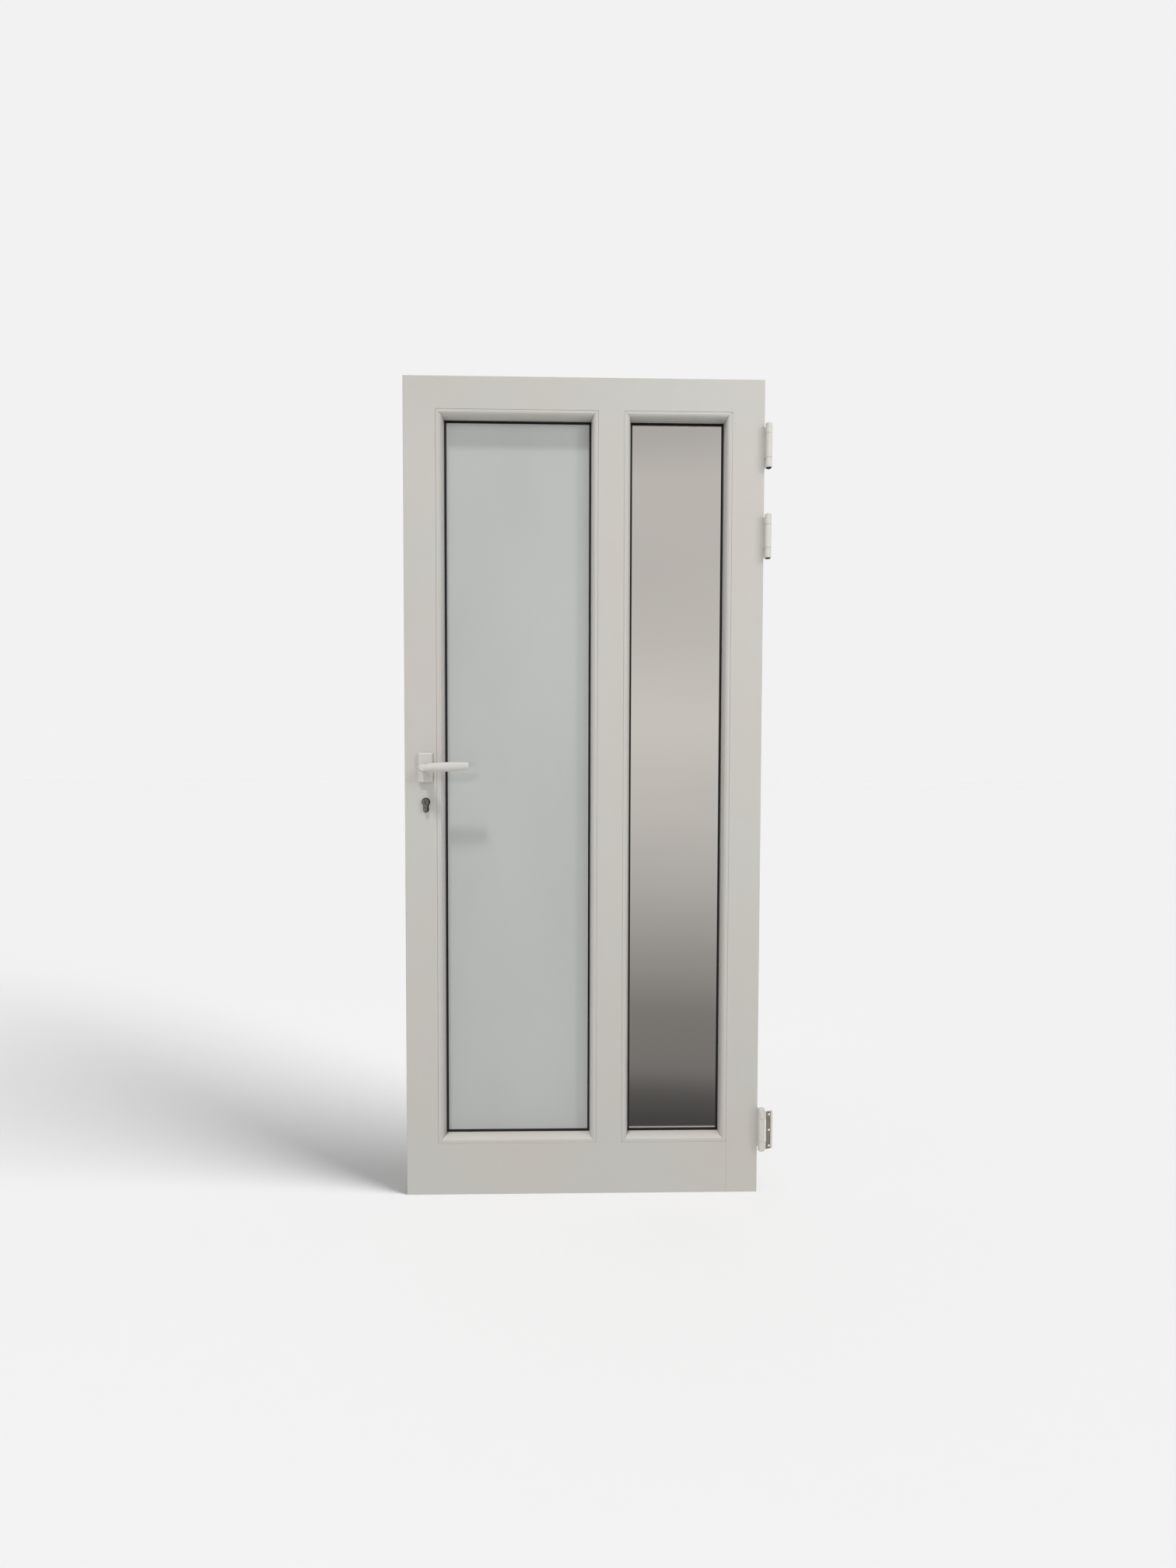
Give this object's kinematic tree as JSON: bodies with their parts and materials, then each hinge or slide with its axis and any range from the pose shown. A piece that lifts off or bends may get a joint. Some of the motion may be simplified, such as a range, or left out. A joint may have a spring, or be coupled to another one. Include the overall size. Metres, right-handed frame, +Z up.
{
  "type": "glazed aluminium door leaf",
  "caption": "Glazed aluminium door leaf with a wide opal pane, a narrow tinted pane, lever handle, mortice lock and barrel hinges, screwed to a frame by its hinge plates.",
  "frame": {"origin": "on the back face of the upper hinge's frame plate, midway between its top two screws", "axes": "+Z up, +Y from the front face to the back face, +X from the leaf to the hinge-side frame post"},
  "size_m": [0.9214, 0.146, 2.03],
  "materials": {
    "powder_coated_aluminium": "gloss powder coat, light grey-white",
    "handle_aluminium": "gloss powder coat",
    "hinge_aluminium": "satin powder coat",
    "epdm_rubber": "matt black",
    "opal_glass": "gloss, opaque",
    "tinted_glass": "gloss, solar-control grey",
    "stainless_steel": "brushed",
    "zinc_plated_steel": "zinc plated",
    "lock_brass": "dull nickel plated",
    "cap_plastic": "black"
  },
  "bodies": {
    "frame_side": {"upper_frame_plate": "hinge_aluminium", "upper_hinge_pin": "stainless_steel", "upper_top_cap": "hinge_aluminium", "upper_bottom_cap": "cap_plastic", "middle_frame_plate": "hinge_aluminium", "middle_hinge_pin": "stainless_steel", "middle_top_cap": "hinge_aluminium", "middle_bottom_cap": "cap_plastic"},
    "leaf": {"lock_stile": "powder_coated_aluminium", "hinge_stile": "powder_coated_aluminium", "top_rail": "powder_coated_aluminium", "bottom_rail": "powder_coated_aluminium", "mullion": "powder_coated_aluminium", "wide_bead_left": "powder_coated_aluminium", "wide_bead_top": "powder_coated_aluminium", "wide_bead_right": "powder_coated_aluminium", "wide_bead_bottom": "powder_coated_aluminium", "wide_front_gasket": "epdm_rubber", "wide_rear_gasket": "epdm_rubber", "narrow_bead_left": "powder_coated_aluminium", "narrow_bead_top": "powder_coated_aluminium", "narrow_bead_right": "powder_coated_aluminium", "narrow_bead_bottom": "powder_coated_aluminium", "narrow_front_gasket": "epdm_rubber", "narrow_rear_gasket": "epdm_rubber", "opal_pane": "opal_glass", "tinted_pane": "tinted_glass", "lock_faceplate": "stainless_steel", "latch_bolt": "zinc_plated_steel", "dead_bolt": "zinc_plated_steel", "lock_case": "zinc_plated_steel", "cylinder_body": "lock_brass", "cylinder_plugs": "lock_brass", "front_rose": "handle_aluminium", "rear_rose": "handle_aluminium", "upper_door_plate": "hinge_aluminium", "middle_door_plate": "hinge_aluminium", "lower_door_plate": "hinge_aluminium"},
    "lever": {"spindle": "zinc_plated_steel", "front_lever": "handle_aluminium", "rear_lever": "handle_aluminium"},
    "lower_plate": {"lower_frame_plate": "hinge_aluminium", "lower_hinge_pin": "stainless_steel", "lower_top_cap": "hinge_aluminium", "lower_bottom_cap": "cap_plastic"}
  },
  "joints": [
    {"name": "door_swing", "type": "hinge", "parent": "frame_side", "child": "leaf", "pos_m": [-0.0082, -0.0176, 0], "axis": [0, 0, 1], "range_deg": [0, 170]},
    {"name": "lever_turn", "type": "hinge", "parent": "leaf", "child": "lever", "pos_m": [-0.8494, 0.0144, -0.8095], "axis": [0, 1, 0], "range_deg": [0, 40], "stiffness_Nm_per_rad": 1.2, "springref_deg": -28.65},
    {"name": "lower_plate_swing", "type": "hinge", "parent": "leaf", "child": "lower_plate", "pos_m": [-0.0082, -0.0176, -1.721], "axis": [0, 0, 1], "range_deg": [-132, 75]}
  ]
}
